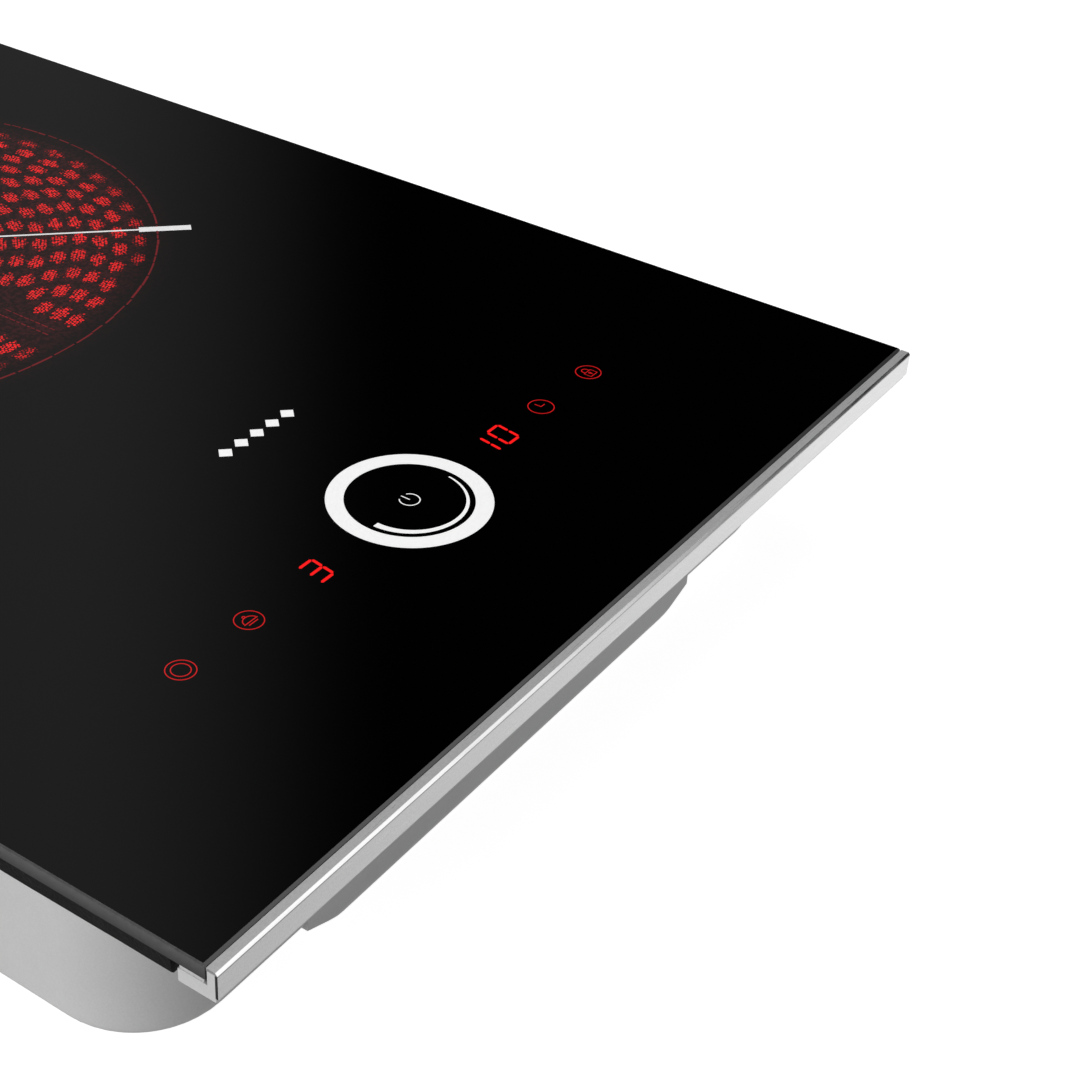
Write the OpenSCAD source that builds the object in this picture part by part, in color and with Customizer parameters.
// Built-in single-zone radiant hob with a glass top, front trim strip and sheet-metal pan.
// +X is the user's right, +Y runs to the back, +Z is up. The origin is the middle of the base.

/* [Glass top] */
// Width of the glass plate
glass_w = 288; // [286:1:292]
// Depth over the trim strip and the glass
overall_d = 510; // [505:1:520]
// Thickness of the glass plate
glass_t = 4; // [4:0.5:5]
// Height of the glass surface above the base
glass_top = 62.9; // [62:0.1:64]
// Width of the polished bevel on the front edge
bevel = 0.6; // [0.4:0.1:0.8]

/* [Front trim] */
// Distance of the trim face in front of the flat glass surface
trim_reach = 3.6; // [3.5:0.1:4]
// Height of the trim face
trim_h = 6.6; // [6.4:0.1:6.8]
// Length of the ledge under the glass
ledge_d = 7.1; // [6:0.1:7.5]

/* [Pan] */
// Outside width of the pan
pan_w = 268; // [266:1:268]
// Distance of the pan's front wall behind the flat glass edge
pan_setback = 25; // [24:0.1:27]
// Distance of the pan's back wall in front of the rear glass edge
pan_back = 14; // [13:0.5:16]
// Height of the pan's shoulder floor above the base
shoulder_h = 6.7; // [6.4:0.1:7]
// Sheet thickness
sheet = 0.8; // [0.8:0.1:1]
// Corner radius of the pan in plan
pan_r = 23; // [21:1:25]
// Radius of the pan's bottom edge
edge_r = 3.8; // [3:0.1:4]

/* [Heater] */
// Distance of the zone's centre behind the flat glass edge
zone_back = 272; // [268:1:276]
// Radius of the heated zone
zone_r = 98.5; // [97:0.5:99]
// Radial pitch of the heating ribbon
ribbon_pitch = 5.75; // [5.5:0.05:5.8]

/* [Hidden] */
$fn = 64;
e = 0.5;                                   // overrun of a cutting solid

// glass and trim
half_w = glass_w / 2;
front_y = -overall_d / 2;
back_y = overall_d / 2;
flat_y = front_y + trim_reach;             // front edge of the flat glass surface
glass_y = flat_y - bevel;                  // foremost line of the glass
glass_under = glass_top - glass_t;
bevel_h = 0.6;
arris = 0.35;
trim_top = glass_top - 0.4;
trim_bottom = trim_top - trim_h;
trim_gap = 0.3;                            // dark joint between glass and trim
trim_back = glass_y - trim_gap;
facing_t = 0.65;
trim_chamfer = 0.55;
ledge_top = glass_under - 1;
ledge_under = ledge_top - 3.3;
ledge_y = trim_back + ledge_d;
gasket_w = 8;
gasket_h = 4.3;
gasket_inset = 0.25;
gasket_start = flat_y + 8.1;

// pan
pan_x = pan_w / 2;
pan_y0 = flat_y + pan_setback;
pan_y1 = back_y - pan_back;
pan_rim = glass_under - 0.9;
channel_flat = 65;                         // half width of the flat channel floor
channel_edge = 83;                         // half width where the shoulder starts
floor_deep = sheet;
floor_high = shoulder_h + sheet;

// frame under the glass
bond_t = 0.6;
frame_t = 1;
frame_gap = 0.2;
frame_flange = 14;
frame_lip = 12.9;
frame_top = glass_under - bond_t;
frame_z = frame_top - frame_t;
screw_z = 51.4;
side_screw_y = [-120, 60, 200];
rear_screw_x = [-55, 55];

// heater
zone_y = flat_y + zone_back;
ring_wall = 12.7;
dish_r = zone_r + ring_wall + 0.8;
dish_t = 0.6;
dish_z = 28;
base_z = dish_z + dish_t;
ribbon_z = 42;
ribbon_h = 5.2;
ribbon_t = 0.5;
outer_rings = 6;
inner_rings = 8;
outer_r = zone_r - 6.9;
inner_r = outer_r - 33.7;
gap_x = 4.5;                               // centre line of the unheated gap
gap_half = 9.7;
tube_r = 1.5;
tube_z = 50;
head_y0 = zone_y - dish_r - 30;
head_y1 = zone_y - dish_r - 0.4;
plunger_r = 2;
plunger_fit = 0.05;
rail_offset = 60;
rail_z = 14;
rail_t = 1.5;
rail_half = 130;
foot_x = 112;

// controls
row_y = flat_y + 59.2;
ring_y = flat_y + 60;
ring_ro = 20.3;
ring_ri = 15.9;
icon_x = [-82.9, -60.5, 56, 78.8];
digit_x = 37.2;
board_z = 49.4;
board_t = 1.6;
board_top = board_z + board_t;
tray_x = 108;
tray_y0 = row_y - 31;
tray_y1 = row_y + 33;
tray_z = 43;
hanger_t = 1;

// dividers
front_div_y = -130;
rear_div_y = 136;
div_t = 1;
div_half = 127;

// power electronics
pcb_x0 = -126;
pcb_x1 = -48;
pcb_y0 = 141;
pcb_y1 = 230;
pcb_z = 16;
pcb_holes = [[-121, 146], [-121, 225], [-53, 146], [-53, 225]];
block_x0 = 47;
block_y0 = 150;
block_poles = 5;
pole_pitch = 10.5;
gland_x = 96;
gland_z = 26;
gland_r = 9.4;
gland_bore = 5;

// fan
fan_y = 188;
fan_size = 80;
fan_h = 15;
fan_bore = 38.2;
fan_holes = 71.5 / 2;
fan_z = floor_deep;
hub_r = 14.5;
cup_r = 12.6;
shaft_r = 1.5;
shaft_fit = 0.05;
blades = 7;

// clamps
clamp_x = 112;
clamp_front_y = -150;
clamp_rear_y = 200;
clamp_len = 48;
clamp_w = 14;
clamp_t = 2;
clamp_z = shoulder_h - 2.8;
clamp_pin = 2.5;
clamp_fit = 0.05;

// height of the pan's outside floor at a distance from the centre line
function channel_z(x) = lookup(abs(x), [[channel_flat, 0], [channel_edge, shoulder_h]]);
function floor_at(x) = channel_z(x) + sheet;

module rounded_rect(x0, x1, y0, y1, r) {
    translate([x0 + r, y0]) square([x1 - x0 - 2 * r, y1 - y0]);
    translate([x0, y0 + r]) square([x1 - x0, y1 - y0 - 2 * r]);
    for (x = [x0 + r, x1 - r], y = [y0 + r, y1 - r]) translate([x, y]) circle(r);
}

module box(x0, x1, y0, y1, z0, z1) {
    translate([x0, y0, z0]) cube([x1 - x0, y1 - y0, z1 - z0]);
}

module post(x, y, z0, z1, r) {
    translate([x, y, z0]) cylinder(h = z1 - z0, r = r);
}

// profile in the YZ plane, extruded along X between two positions
module along_x(x0, x1) {
    translate([x0, 0, 0]) rotate([90, 0, 90]) linear_extrude(x1 - x0) children();
}

// ring-shaped band that follows the pan's plan, from one inset to a deeper one
module plan_band(inset, width, z0, z1) {
    translate([0, 0, z0]) linear_extrude(z1 - z0) difference() {
        plan_outline(inset);
        plan_outline(inset + width);
    }
}

module plan_outline(inset) {
    rounded_rect(-pan_x + inset, pan_x - inset, pan_y0 + inset, pan_y1 - inset,
        max(pan_r - inset, 4));
}

// glass and trim

module glass_plate() {
    color([0.02, 0.02, 0.02]) intersection() {
        along_x(-half_w, half_w) polygon([[glass_y, glass_under + arris],
            [glass_y, glass_top - bevel_h], [flat_y, glass_top], [back_y - arris, glass_top],
            [back_y, glass_top - arris], [back_y, glass_under + arris],
            [back_y - arris, glass_under], [glass_y + arris, glass_under]]);
        translate([0, back_y, 0]) rotate([90, 0, 0]) linear_extrude(overall_d) polygon([
            [-half_w, glass_under + arris], [-half_w + arris, glass_under],
            [half_w - arris, glass_under], [half_w, glass_under + arris],
            [half_w, glass_top - arris], [half_w - arris, glass_top],
            [-half_w + arris, glass_top], [-half_w, glass_top - arris]]);
    }
}

module trim_facing() {
    x = half_w;
    color([0.78, 0.78, 0.8]) along_x(-x, x) polygon([[front_y, trim_bottom],
        [front_y, trim_top - trim_chamfer], [front_y + trim_chamfer, trim_top],
        [trim_back, trim_top], [trim_back, trim_top - facing_t],
        [front_y + facing_t, trim_top - facing_t], [front_y + facing_t, trim_bottom]]);
}

module trim_carrier() {
    web_y = front_y + facing_t + 0.05;
    color([0.62, 0.62, 0.64]) along_x(-half_w + 0.2, half_w - 0.2) polygon([
        [web_y, ledge_under], [web_y, trim_top - facing_t - 0.05],
        [trim_back, trim_top - facing_t - 0.05], [trim_back, ledge_top],
        [ledge_y, ledge_top], [ledge_y, ledge_under]]);
}

module trim_tape() {
    color([0.7, 0.7, 0.7]) box(-half_w + 0.4, half_w - 0.4, glass_y + 0.6, ledge_y - 0.3,
        ledge_top, glass_under);
}

module worktop_gasket() {
    x1 = half_w - gasket_inset;
    x0 = x1 - gasket_w;
    y1 = back_y - gasket_inset;
    z0 = glass_under - gasket_h;
    color([0.1, 0.1, 0.1]) union() {
        for (side = [-1, 1]) box(min(side * x0, side * x1), max(side * x0, side * x1),
            gasket_start, y1, z0, glass_under);
        box(-x1, x1, y1 - gasket_w, y1, z0, glass_under);
    }
}

module glass_bond() {
    color([0.2, 0.2, 0.2]) plan_band(2, frame_flange - 4, frame_top, glass_under);
}

module glass_frame() {
    inset = sheet + frame_gap;
    color([0.7, 0.7, 0.72]) difference() {
        union() {
            plan_band(inset, frame_flange, frame_z, frame_top);
            plan_band(inset, frame_t, frame_z - frame_lip + frame_t, frame_z);
        }
        side_screw_holes(1.9);
        post(0, ring_y, frame_z - e, frame_top + e, ring_ro + 0.4);
        for (x = [-121, 121], y = tray_screw_y()) post(x, y, frame_z - e, frame_top + e, 1.6);
    }
}

// pan

// lower outer quarter of a round edge, seen along it
module quarter(r) {
    intersection() {
        circle(r);
        translate([0, -r]) square(r);
    }
}

module bowl(inset, z0, z1) {
    x = pan_x - inset;
    y0 = pan_y0 + inset;
    y1 = pan_y1 - inset;
    corner = pan_r - inset;
    r = edge_r - inset;
    sides = [[x - r, y0 + corner, 0, y1 - y0 - 2 * corner], [x - corner, y1 - r, 90, 2 * (x - corner)],
        [-x + r, y1 - corner, 180, y1 - y0 - 2 * corner], [-x + corner, y0 + r, 270, 2 * (x - corner)]];
    corners = [[x - corner, y0 + corner, 270], [x - corner, y1 - corner, 0],
        [-x + corner, y1 - corner, 90], [-x + corner, y0 + corner, 180]];
    translate([0, 0, z0 + r]) linear_extrude(z1 - z0 - r) rounded_rect(-x, x, y0, y1, corner);
    translate([0, 0, z0]) linear_extrude(r)
        rounded_rect(-x + r, x - r, y0 + r, y1 - r, corner - r);
    for (s = sides) translate([s[0], s[1], z0 + r]) rotate([0, 0, s[2]])
        translate([0, s[3], 0]) rotate([90, 0, 0]) linear_extrude(s[3]) quarter(r);
    for (c = corners) translate([c[0], c[1], z0 + r]) rotate([0, 0, c[2]])
        rotate_extrude(angle = 90) translate([corner - r, 0]) quarter(r);
}

// outline of the room between the channel's slopes and above its floor, seen from the front
module channel_outline(inset, top) {
    edge = channel_edge - inset;
    edge_z = channel_z(edge) + inset;
    polygon([[channel_flat, inset], [edge, edge_z], [edge, top], [-edge, top], [-edge, edge_z],
        [-channel_flat, inset]]);
}

module along_depth() {
    translate([0, overall_d / 2, 0]) rotate([90, 0, 0]) linear_extrude(overall_d) children();
}

module pan_form(inset, top) {
    intersection() {
        bowl(inset, inset, top);
        along_depth() channel_outline(inset, top + 5);
    }
    edge = channel_edge - inset;
    for (x = [-pan_w, edge]) intersection() {
        bowl(inset, shoulder_h + inset, top);
        translate([x, -overall_d / 2, 0]) cube([pan_w - edge, overall_d, top + 5]);
    }
}

module side_screw_holes(r) {
    for (side = [-1, 1], y = side_screw_y) translate([side * (pan_x - 8), y, screw_z])
        rotate([0, side * 90, 0]) cylinder(h = 10, r = r);
    for (x = rear_screw_x) translate([x, pan_y1 - 8, screw_z]) rotate([-90, 0, 0])
        cylinder(h = 10, r = r);
}

function rail_screws_at() = [for (side = [-1, 1], end = [-1, 1])
    [side * 116, zone_y + end * rail_offset]];
function clamp_at() = [for (side = [-1, 1], y = [clamp_front_y, clamp_rear_y])
    [side * clamp_x, y]];
function fan_screws_at() = [for (sx = [-1, 1], sy = [-1, 1])
    [sx * fan_holes, fan_y + sy * fan_holes]];

module fan_grille() {
    slots = 7;
    slot_w = 5;
    slot_pitch = 9;
    r = 34;
    for (i = [-(slots - 1) / 2:(slots - 1) / 2]) {
        half = sqrt(r * r - pow(i * slot_pitch, 2));
        box(i * slot_pitch - slot_w / 2, i * slot_pitch + slot_w / 2, fan_y - half, fan_y + half,
            -e, floor_deep + e);
    }
}

module rear_slots() {
    slots = 8;
    for (side = [-1, 1], i = [0:slots - 1]) if (side < 0 || i < 4)
        box(side * (40 + 7 * i) - 1.5, side * (40 + 7 * i) + 1.5, pan_y1 - 3, pan_y1 + e, 22, 40);
}

module pan() {
    color([0.75, 0.75, 0.75]) difference() {
        pan_form(0, pan_rim);
        pan_form(sheet, pan_rim + e);
        side_screw_holes(2);
        fan_grille();
        rear_slots();
        for (p = rail_screws_at()) post(p[0], p[1], -e, floor_high + e, 1.6);
        for (p = fan_screws_at()) post(p[0], p[1], -e, floor_deep + e, 1.6);
        for (p = clamp_at()) post(p[0], p[1], shoulder_h - e, floor_high + e, 2.6);
        translate([gland_x, pan_y1 - 3, gland_z]) rotate([-90, 0, 0]) cylinder(h = 6, r = 9.5);
    }
}

// pan-head screw that points down, with the underside of its head at z
module screw_down(x, y, z, length, r, head_r, head_h) {
    post(x, y, z - length, z + e, r);
    post(x, y, z, z + head_h, head_r);
}

module pan_screws() {
    shank = 4.5;
    color([0.75, 0.75, 0.77]) union() {
        for (side = [-1, 1], y = side_screw_y) translate([side * pan_x, y, screw_z])
            rotate([0, side * 90, 0]) pan_screw(shank);
        for (x = rear_screw_x) translate([x, pan_y1, screw_z]) rotate([-90, 0, 0])
            pan_screw(shank);
    }
}

module pan_screw(shank) {
    difference() {
        union() {
            translate([0, 0, -shank]) cylinder(h = shank + e, r = 1.85);
            cylinder(h = 0.9, r = 3.6);
        }
        for (turn = [0, 90]) rotate([0, 0, turn]) translate([-2, -0.4, 0.4]) cube([4, 0.8, 1]);
    }
}

module divider(y) {
    translate([0, y + div_t, 0]) rotate([90, 0, 0]) linear_extrude(div_t) difference() {
        polygon([[-div_half, floor_high], [-channel_edge, floor_high],
            [-channel_edge, floor_high + 6], [channel_edge, floor_high + 6],
            [channel_edge, floor_high], [div_half, floor_high], [div_half, frame_z - 0.5 - 13],
            [118, frame_z - 0.5], [-118, frame_z - 0.5], [-div_half, frame_z - 0.5 - 13]]);
        translate([-125, 28]) square([12, 10]);
    }
}

module front_divider() {
    color([0.7, 0.7, 0.72]) union() {
        divider(front_div_y);
        for (side = [-1, 1]) box(side * 109 - 12, side * 109 + 12, front_div_y + div_t,
            front_div_y + 11, floor_high, floor_high + div_t);
    }
}

module rear_divider() {
    color([0.7, 0.7, 0.72]) union() {
        divider(rear_div_y);
        for (side = [-1, 1]) box(side * 109 - 12, side * 109 + 12, rear_div_y - 10,
            rear_div_y, floor_high, floor_high + div_t);
    }
}

// heater

module tube_passage(r) {
    translate([gap_x, zone_y - dish_r - 1, tube_z]) rotate([-90, 0, 0])
        cylinder(h = ring_wall + 6, r = r);
}

module heater_dish() {
    color([0.7, 0.7, 0.7]) difference() {
        post(0, zone_y, dish_z, glass_under - 2, dish_r);
        post(0, zone_y, base_z, glass_under + e, dish_r - dish_t);
        tube_passage(tube_r + 0.5);
    }
}

module insulation_base() {
    color([0.9, 0.88, 0.84]) post(0, zone_y, base_z, ribbon_z, dish_r - dish_t - 0.2);
}

module insulation_ring() {
    color([0.92, 0.9, 0.86]) difference() {
        post(0, zone_y, ribbon_z, glass_under, dish_r - dish_t - 0.2);
        post(0, zone_y, ribbon_z - e, glass_under + e, zone_r);
        tube_passage(tube_r + 0.4);
    }
}

// y of a ribbon ring of radius r at a given x, on the user's side of the centre
function ring_front(r, x) = zone_y - sqrt(r * r - x * x);

module ribbon(first_r, rings) {
    left = gap_x - gap_half;
    right = gap_x + gap_half;
    for (k = [0:rings - 1]) {
        r = first_r - k * ribbon_pitch;
        difference() {
            post(0, zone_y, ribbon_z, ribbon_z + ribbon_h, r + ribbon_t / 2);
            post(0, zone_y, ribbon_z - e, ribbon_z + ribbon_h + e, r - ribbon_t / 2);
            box(left, right, zone_y - zone_r, zone_y, ribbon_z - e, ribbon_z + ribbon_h + e);
        }
        if (k < rings - 1) {
            x = k % 2 == 0 ? right + ribbon_t / 2 : left - ribbon_t / 2;
            box(x - ribbon_t / 2, x + ribbon_t / 2, ring_front(r, x),
                ring_front(r - ribbon_pitch, x), ribbon_z, ribbon_z + ribbon_h);
        }
    }
}

module outer_ribbon() {
    color([0.5, 0.2, 0.15]) ribbon(outer_r, outer_rings);
}

module inner_ribbon() {
    color([0.5, 0.2, 0.15]) ribbon(inner_r, inner_rings);
}

module heater_terminals() {
    x1 = -dish_r - 0.2;
    color([0.9, 0.9, 0.88]) union() {
        box(x1 - 12, x1, zone_y - 14, zone_y + 14, 30, 42);
        for (dy = [-8, 0, 8]) box(x1 - 8.4, x1 - 7.6, zone_y + dy - 3, zone_y + dy + 3, 42, 50);
    }
}

module limiter_tube() {
    color([0.85, 0.85, 0.85]) translate([gap_x, head_y1, tube_z]) rotate([-90, 0, 0])
        cylinder(h = dish_r + 80, r = tube_r);
}

module limiter_head() {
    color([0.92, 0.92, 0.9]) difference() {
        union() {
            box(gap_x - 13, gap_x + 13, head_y0, head_y1, 38, 54);
            for (dx = [-9, 9]) box(gap_x + dx - 3, gap_x + dx + 3, head_y0 + 8, head_y0 + 8.8,
                31, 38);
        }
        translate([gap_x, head_y0 - e, tube_z - 5]) rotate([-90, 0, 0])
            cylinder(h = 20 + e, r = plunger_r + plunger_fit);
    }
}

module limiter_plunger() {
    color([0.6, 0.55, 0.4]) translate([gap_x, head_y0 + 6, tube_z - 5]) rotate([-90, 0, 0])
        cylinder(h = 12, r = plunger_r);
}

module limiter_cap() {
    color([0.85, 0.85, 0.83]) box(gap_x - 12, gap_x + 12, head_y0 - 1.2, head_y0, 39, 53);
}

module heater_rails() {
    color([0.7, 0.7, 0.72]) for (end = [-1, 1]) difference() {
        y = zone_y + end * rail_offset;
        union() {
            box(-rail_half + 22, rail_half - 22, y - 10, y + 10, rail_z, rail_z + rail_t);
            for (side = [-1, 1]) {
                web = side * (rail_half - 22);
                box(web - rail_t / 2, web + rail_t / 2, y - 10, y + 10, floor_high,
                    rail_z + rail_t);
                box(side * 119 - 11, side * 119 + 11, y - 10, y + 10, floor_high,
                    floor_high + rail_t);
            }
        }
        for (side = [-1, 1]) post(side * 116, y, floor_high - e, floor_high + rail_t + e, 1.6);
    }
}

module heater_leaf_springs() {
    steps = 16;
    rise = dish_z - rail_z - rail_t;
    half = 22;
    t = 0.6;
    arch = [for (i = [0:steps]) [-half + 2 * half * i / steps, sin(180 * i / steps)]];
    color([0.6, 0.6, 0.65]) for (end = [-1, 1], side = [-1, 1])
        translate([side * 60, zone_y + end * rail_offset + 5, rail_z + rail_t])
            rotate([90, 0, 0]) linear_extrude(10) polygon(concat(
                [for (p = arch) [p[0], p[1] * (rise - t) + t]],
                [for (i = [steps:-1:0]) [arch[i][0], arch[i][1] * (rise - t)]]));
}

module rail_screws() {
    color([0.75, 0.75, 0.77]) for (p = rail_screws_at())
        screw_down(p[0], p[1], floor_high + rail_t, rail_t + sheet - 0.1, 1.5, 3, 1.8);
}

// controls

module control_board() {
    color([0.1, 0.35, 0.2]) box(-tray_x + 2.2, tray_x - 2.2, tray_y0 + 2.2, tray_y1 - 2.2,
        board_z, board_top);
}

module touch_ring() {
    color([0.15, 0.15, 0.15]) difference() {
        post(0, ring_y, board_top, glass_under, ring_ro);
        post(0, ring_y, board_top - e, glass_under + e, ring_ri);
    }
}

module touch_springs() {
    color([0.75, 0.72, 0.6]) for (x = concat(icon_x, [0])) difference() {
        post(x, x == 0 ? ring_y : row_y, board_top, glass_under, 3.5);
        post(x, x == 0 ? ring_y : row_y, board_top - e, glass_under + e, 2.9);
    }
}

module display(x, w) {
    h = 12;
    difference() {
        box(x - w / 2, x + w / 2, row_y - h / 2, row_y + h / 2, board_top, glass_under - 0.3);
        box(x - w / 2 + 1, x + w / 2 - 1, row_y - h / 2 + 1, row_y + h / 2 - 1,
            glass_under - 0.8, glass_under);
    }
}

module level_display() {
    color([0.2, 0.05, 0.05]) display(-digit_x, 9);
}

module timer_display() {
    color([0.2, 0.05, 0.05]) display(digit_x, 17);
}

module icon_lamps() {
    color([0.9, 0.3, 0.25]) for (x = icon_x) post(x, row_y, board_top, board_top + 2, 1.4);
}

module buzzer() {
    color([0.1, 0.1, 0.1]) post(24, row_y + 14, tray_z + 2.4, board_z, 6);
}

module board_tray() {
    color([0.85, 0.85, 0.82]) difference() {
        box(-tray_x, tray_x, tray_y0, tray_y1, tray_z, board_top);
        box(-tray_x + 4, tray_x - 4, tray_y0 + 4, tray_y1 - 4, tray_z + 2, board_top + e);
        box(-tray_x + 2, tray_x - 2, tray_y0 + 2, tray_y1 - 2, board_z, board_top + e);
    }
}

function tray_screw_y() = [tray_y0 + 20, tray_y1 - 8];

module tray_hangers() {
    y0 = tray_y0 + 10;
    y1 = tray_y1;
    x0 = tray_x + 0.5;
    color([0.7, 0.7, 0.72]) for (side = [-1, 1]) difference() {
        union() {
            hanger_box(side, x0, x0 + hanger_t, y0, y1, tray_z - hanger_t, frame_z);
            hanger_box(side, x0, 127, y0, y1, frame_z - hanger_t, frame_z);
            hanger_box(side, x0 - 14, x0 + hanger_t, y0, y1, tray_z - hanger_t, tray_z);
        }
        for (y = tray_screw_y()) post(side * 121, y, frame_z - 2, frame_z + e, 1.6);
    }
}

module hanger_box(side, x0, x1, y0, y1, z0, z1) {
    box(side > 0 ? x0 : -x1, side > 0 ? x1 : -x0, y0, y1, z0, z1);
}

module tray_screws() {
    head_z = frame_z - hanger_t;
    color([0.75, 0.75, 0.77]) for (side = [-1, 1], y = tray_screw_y()) {
        post(side * 121, y, head_z - e, frame_top - 0.1, 1.5);
        post(side * 121, y, head_z - 1.8, head_z, 3);
    }
}

// power electronics

module power_board() {
    color([0.1, 0.35, 0.2]) difference() {
        box(pcb_x0, pcb_x1, pcb_y0, pcb_y1, pcb_z, pcb_z + board_t);
        for (p = pcb_holes) post(p[0], p[1], pcb_z - e, pcb_z + board_t + e, 1.6);
    }
}

module board_standoffs() {
    color([0.8, 0.8, 0.8]) for (p = pcb_holes) difference() {
        post(p[0], p[1], floor_at(p[0]), pcb_z, 3);
        post(p[0], p[1], pcb_z - 6, pcb_z + e, 1.5);
    }
}

module board_screws() {
    color([0.75, 0.75, 0.77]) for (p = pcb_holes)
        screw_down(p[0], p[1], pcb_z + board_t, 6, 1.45, 3, 1.8);
}

module power_relays() {
    z = pcb_z + board_t;
    color([0.1, 0.2, 0.45]) for (i = [0:2]) box(-122 + 24 * i, -103 + 24 * i, 160, 175.5, z,
        z + 15.5);
}

module transformer() {
    z = pcb_z + board_t;
    color([0.75, 0.7, 0.3]) union() {
        box(-118, -84, 188, 216, z, z + 8);
        box(-114, -88, 190, 214, z + 8, z + 18);
        box(-118, -84, 188, 216, z + 18, z + 24);
    }
}

module filter_capacitor() {
    z = pcb_z + board_t;
    color([0.85, 0.75, 0.3]) box(-78, -52, 200, 211, z, z + 19);
}

module fuse() {
    z = pcb_z + board_t + 4;
    color([0.8, 0.8, 0.75]) union() {
        translate([-76, 186, z]) rotate([0, 90, 0]) cylinder(h = 20, r = 2.5);
        for (x = [-76, -60]) box(x, x + 4, 183, 189, z - 4, z);
    }
}

module mains_terminals() {
    x1 = block_x0 + block_poles * pole_pitch + 1;
    color([0.9, 0.9, 0.88]) difference() {
        box(block_x0, x1, block_y0, block_y0 + 24, floor_high, floor_high + 17);
        for (i = [0:block_poles - 1]) {
            x = block_x0 + 0.5 + pole_pitch * (i + 0.5);
            box(x - 4, x + 4, block_y0 + 4, block_y0 + 20, floor_high + 9, floor_high + 18);
        }
    }
}

module terminal_screws() {
    z = floor_high + 9;
    color([0.8, 0.75, 0.5]) for (i = [0:block_poles - 1], y = [8, 16]) {
        x = block_x0 + 0.5 + pole_pitch * (i + 0.5);
        post(x, block_y0 + y, z, z + 2.5, 2.8);
    }
}

module cable_gland() {
    y0 = pan_y1 - sheet - 5;
    color([0.1, 0.1, 0.1]) translate([gland_x, 0, gland_z]) difference() {
        union() {
            translate([0, y0, 0]) rotate([-90, 0, 0]) cylinder(h = 5, r = 13, $fn = 6);
            translate([0, y0, 0]) rotate([-90, 0, 0]) cylinder(h = 9, r = gland_r);
            translate([0, pan_y1, 0]) rotate([-90, 0, 0]) cylinder(h = 5, r = 12.5);
            translate([0, pan_y1 + 4, 0]) rotate([-90, 0, 0]) cylinder(h = 7, r = 9);
        }
        translate([0, y0 - e, 0]) rotate([-90, 0, 0]) cylinder(h = 30, r = gland_bore);
    }
}

// fan

module fan_frame() {
    spokes = 3;
    color([0.12, 0.12, 0.12]) translate([0, fan_y, fan_z]) difference() {
        union() {
            difference() {
                linear_extrude(fan_h) rounded_rect(-fan_size / 2, fan_size / 2, -fan_size / 2,
                    fan_size / 2, 4);
                translate([0, 0, -e]) cylinder(h = fan_h + 2 * e, r = fan_bore);
            }
            cylinder(h = 1.5, r = 13);
            cylinder(h = 10.7, r = 3.2);
            for (i = [0:spokes - 1]) rotate([0, 0, 90 + i * 360 / spokes])
                box(5, fan_bore + 1, -1.5, 1.5, 0, 1.5);
        }
        translate([0, 0, 0.5]) cylinder(h = fan_h, r = shaft_r + shaft_fit);
        for (sx = [-1, 1], sy = [-1, 1]) post(sx * fan_holes, sy * fan_holes, -e, fan_h + e, 2);
    }
}

module fan_stator() {
    color([0.6, 0.35, 0.15]) translate([0, fan_y, fan_z]) difference() {
        translate([0, 0, 2.4]) cylinder(h = 7.4, r = 11.4);
        translate([0, 0, 2]) cylinder(h = 9, r = 3.25);
    }
}

module fan_rotor() {
    top = 13.6;
    color([0.15, 0.15, 0.15]) translate([0, fan_y, fan_z]) union() {
        difference() {
            union() {
                translate([0, 0, 2]) cylinder(h = top - 2, r = hub_r);
                for (i = [0:blades - 1]) rotate([0, 0, i * 360 / blades])
                    translate([25.2, 0, 7.9]) rotate([38, 0, 0])
                        cube([22.6, 15.4, 1.2], center = true);
            }
            translate([0, 0, -e]) cylinder(h = top - 1.2 + e, r = cup_r);
        }
        translate([0, 0, 0.9]) cylinder(h = top - 0.9, r = shaft_r);
    }
}

module fan_screws() {
    color([0.75, 0.75, 0.77]) for (p = fan_screws_at())
        screw_down(p[0], p[1], fan_z + fan_h, fan_h + sheet - 0.1, 1.5, 3, 1.8);
}

// wiring

module wire(points, r) {
    for (i = [0:len(points) - 2]) {
        a = points[i];
        b = points[i + 1];
        v = b - a;
        translate(a) rotate([0, acos(v[2] / norm(v)), atan2(v[1], v[0])])
            cylinder(h = norm(v), r = r);
        if (i > 0) translate(a) sphere(r = 1.1 * r);
    }
}

module ribbon_cable() {
    x = -130.6;
    color([0.6, 0.6, 0.62]) union() {
        box(x, x + 1, row_y + 14, 178, 20, 32);
        box(x, x + 1, row_y + 14, row_y + 26, 20, 45);
        box(x, -tray_x - 2, row_y + 14, row_y + 26, 40, 41);
        box(x, pcb_x0 + 3, 166, 178, 19, 20);
        box(pcb_x0 + 1, pcb_x0 + 3, 166, 178, pcb_z + board_t, 20);
    }
}

module heater_leads() {
    x0 = -dish_r - 8;
    y = pcb_y0 + 12;
    color([0.8, 0.3, 0.2]) for (i = [-1, 1]) wire([[x0 + i * 2.4, zone_y + 14, 34],
        [x0 + i * 2.4, y, 34], [x0 + i * 2.4, y, pcb_z + board_t]], 1.3);
}

module mains_leads() {
    z = pcb_z + board_t + 4;
    color([0.45, 0.3, 0.15]) for (i = [0, 1]) {
        x0 = block_x0 + 6 + pole_pitch * i;
        x1 = -63 - 5 * i;
        y = 144 - 3.5 * i;
        wire([[x0, block_y0, floor_high + 6], [x0, y, floor_high + 6], [x0, y, z], [x1, y, z],
            [x1, 152, z], [x1, 152, pcb_z + board_t]], 1.3);
    }
}

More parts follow.
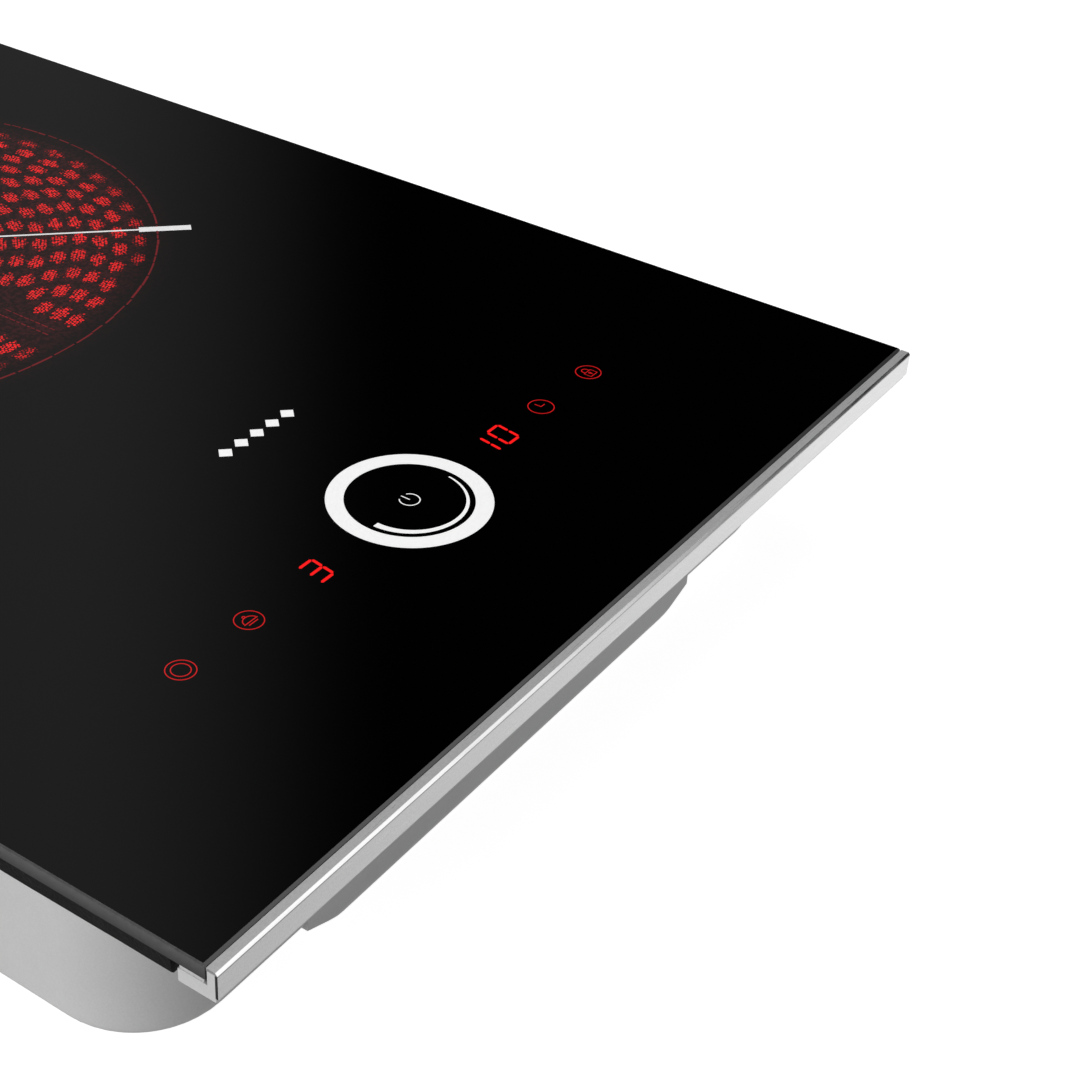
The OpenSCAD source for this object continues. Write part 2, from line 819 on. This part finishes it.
module earth_stud() {
    color([0.8, 0.75, 0.5]) union() {
        post(118, 160, floor_high, floor_high + 12, 2);
        translate([118, 160, floor_high]) cylinder(h = 3, r = 4, $fn = 6);
    }
}

// mounting clamps

module clamp(x, y, direction) {
    color([0.72, 0.72, 0.74]) translate([x, y, clamp_z]) linear_extrude(clamp_t) difference() {
        union() {
            circle(clamp_w / 2);
            translate([-clamp_w / 2, direction > 0 ? 0 : -clamp_len]) square([clamp_w, clamp_len]);
        }
        circle(clamp_pin + clamp_fit);
        translate([0, direction * (clamp_len - 8)]) circle(3);
    }
}

module clamp_front_left() {
    clamp(-clamp_x, clamp_front_y, 1);
}

module clamp_front_right() {
    clamp(clamp_x, clamp_front_y, 1);
}

module clamp_rear_left() {
    clamp(-clamp_x, clamp_rear_y, -1);
}

module clamp_rear_right() {
    clamp(clamp_x, clamp_rear_y, -1);
}

module clamp_screws() {
    head_z = clamp_z - 0.3;
    color([0.75, 0.75, 0.77]) for (p = clamp_at()) difference() {
        union() {
            post(p[0], p[1], head_z - e, floor_high + 4.5, clamp_pin);
            post(p[0], p[1], head_z - 2.2, head_z, 4.5);
        }
        box(p[0] - 3, p[0] + 3, p[1] - 0.5, p[1] + 0.5, head_z - 2.3, head_z - 1.2);
    }
}

module clamp_washers() {
    color([0.8, 0.8, 0.82]) for (p = clamp_at()) difference() {
        post(p[0], p[1], clamp_z + clamp_t + 0.3, shoulder_h, 5);
        post(p[0], p[1], clamp_z, shoulder_h + e, clamp_pin + 0.1);
    }
}

module clamp_nuts() {
    color([0.8, 0.8, 0.82]) for (p = clamp_at()) difference() {
        translate([p[0], p[1], floor_high]) cylinder(h = 3.2, r = 4.6, $fn = 6);
        post(p[0], p[1], floor_high - e, floor_high + 4, clamp_pin);
    }
}

glass_plate();
trim_facing();
trim_carrier();
trim_tape();
worktop_gasket();
glass_bond();
glass_frame();
pan();
pan_screws();
front_divider();
rear_divider();
heater_dish();
insulation_base();
insulation_ring();
outer_ribbon();
inner_ribbon();
heater_terminals();
limiter_tube();
limiter_head();
limiter_plunger();
limiter_cap();
heater_rails();
heater_leaf_springs();
rail_screws();
control_board();
touch_ring();
touch_springs();
level_display();
timer_display();
icon_lamps();
buzzer();
board_tray();
tray_hangers();
tray_screws();
power_board();
board_standoffs();
board_screws();
power_relays();
transformer();
filter_capacitor();
fuse();
mains_terminals();
terminal_screws();
cable_gland();
fan_frame();
fan_stator();
fan_rotor();
fan_screws();
ribbon_cable();
heater_leads();
mains_leads();
clamp_front_left();
clamp_front_right();
clamp_rear_left();
clamp_rear_right();
clamp_screws();
clamp_washers();
clamp_nuts();
earth_stud();
